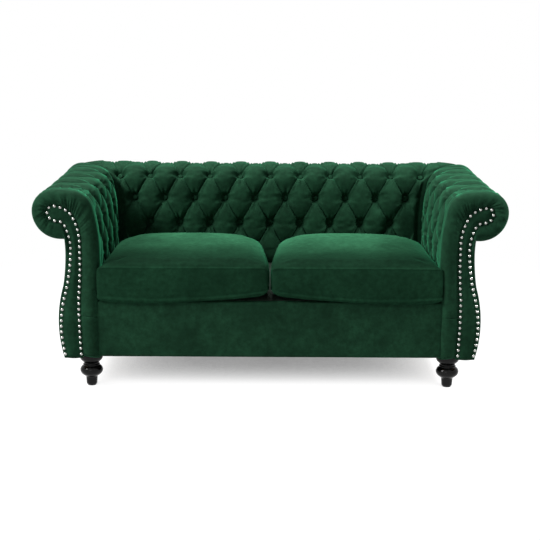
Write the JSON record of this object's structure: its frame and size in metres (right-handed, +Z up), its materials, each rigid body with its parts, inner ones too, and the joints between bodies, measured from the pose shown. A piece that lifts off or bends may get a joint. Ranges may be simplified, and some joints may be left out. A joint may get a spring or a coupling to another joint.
{
  "type": "loveseat",
  "caption": "Chesterfield loveseat with a diamond-tufted rolled back and arms, nail-trimmed arm fronts, loose seat cushions and turned feet.",
  "frame": {"origin": "on the floor, under the middle of the loveseat's box", "axes": "+X to the viewer's right across the width, +Z up, the seat faces -Y"},
  "size_m": [1.568, 0.857, 0.6769],
  "materials": {
    "velvet": "deep green cotton velvet",
    "cushion_velvet": "deep green cotton velvet",
    "foam": "polyurethane foam and fibre, stood in for by fabric",
    "burlap": "jute burlap",
    "dust_cloth": "black non-woven cloth",
    "frame_wood": "kiln-dried hardwood and plywood",
    "foot_wood": "turned hardwood, black gloss lacquer",
    "nail": "bright nickel-plated",
    "steel": "zinc-plated steel",
    "glide": "moulded glide",
    "zip": "woven zip tape with coil"
  },
  "bodies": {
    "frame": {"back_burlap": "burlap", "back_buttons": "velvet", "back_foam": "foam", "back_left_foot": "foot_wood", "back_rail": "frame_wood", "back_ribs": "frame_wood", "back_right_foot": "foot_wood", "back_top_rail": "frame_wood", "back_tufted_cover": "velvet", "centre_brace": "frame_wood", "corner_blocks": "frame_wood", "deck_cover": "burlap", "deck_pad": "foam", "dust_cover": "dust_cloth", "foot_bolts": "steel", "foot_glides": "glide", "foot_inserts": "steel", "frame_screws": "steel", "front_left_foot": "foot_wood", "front_rail": "frame_wood", "front_rail_cover": "velvet", "front_right_foot": "foot_wood", "left_arm_base": "frame_wood", "left_arm_border": "velvet", "left_arm_burlap": "burlap", "left_arm_buttons": "velvet", "left_arm_foam": "foam", "left_arm_front_board": "frame_wood", "left_arm_ribs": "frame_wood", "left_arm_top_rail": "frame_wood", "left_arm_tufted_cover": "velvet", "left_front_panel": "velvet", "left_nailheads": "nail", "left_outside_arm_panel": "velvet", "left_side_rail": "frame_wood", "outside_back_panel": "velvet", "rear_posts": "frame_wood", "right_arm_base": "frame_wood", "right_arm_border": "velvet", "right_arm_burlap": "burlap", "right_arm_buttons": "velvet", "right_arm_foam": "foam", "right_arm_front_board": "frame_wood", "right_arm_ribs": "frame_wood", "right_arm_top_rail": "frame_wood", "right_arm_tufted_cover": "velvet", "right_front_panel": "velvet", "right_nailheads": "nail", "right_outside_arm_panel": "velvet", "right_side_rail": "frame_wood", "seat_springs": "steel", "spring_clips": "steel"},
    "left_cushion": {"left_cushion_cover": "cushion_velvet", "left_cushion_core": "foam", "left_cushion_zip": "zip"},
    "right_cushion": {"right_cushion_cover": "cushion_velvet", "right_cushion_core": "foam", "right_cushion_zip": "zip"},
    "left_zip_slider": {"left_zip_slider": "steel"},
    "right_zip_slider": {"right_zip_slider": "steel"}
  },
  "joints": [
    {"name": "left_cushion_lift", "type": "slide", "parent": "frame", "child": "left_cushion", "axis": [0, 0, 1], "range_m": [0, 0.4]},
    {"name": "left_zip", "type": "slide", "parent": "left_cushion", "child": "left_zip_slider", "axis": [-1, 0, 0], "range_m": [0, 0.448]},
    {"name": "right_cushion_lift", "type": "slide", "parent": "frame", "child": "right_cushion", "axis": [0, 0, 1], "range_m": [0, 0.4]},
    {"name": "right_zip", "type": "slide", "parent": "right_cushion", "child": "right_zip_slider", "axis": [1, 0, 0], "range_m": [0, 0.448]}
  ]
}
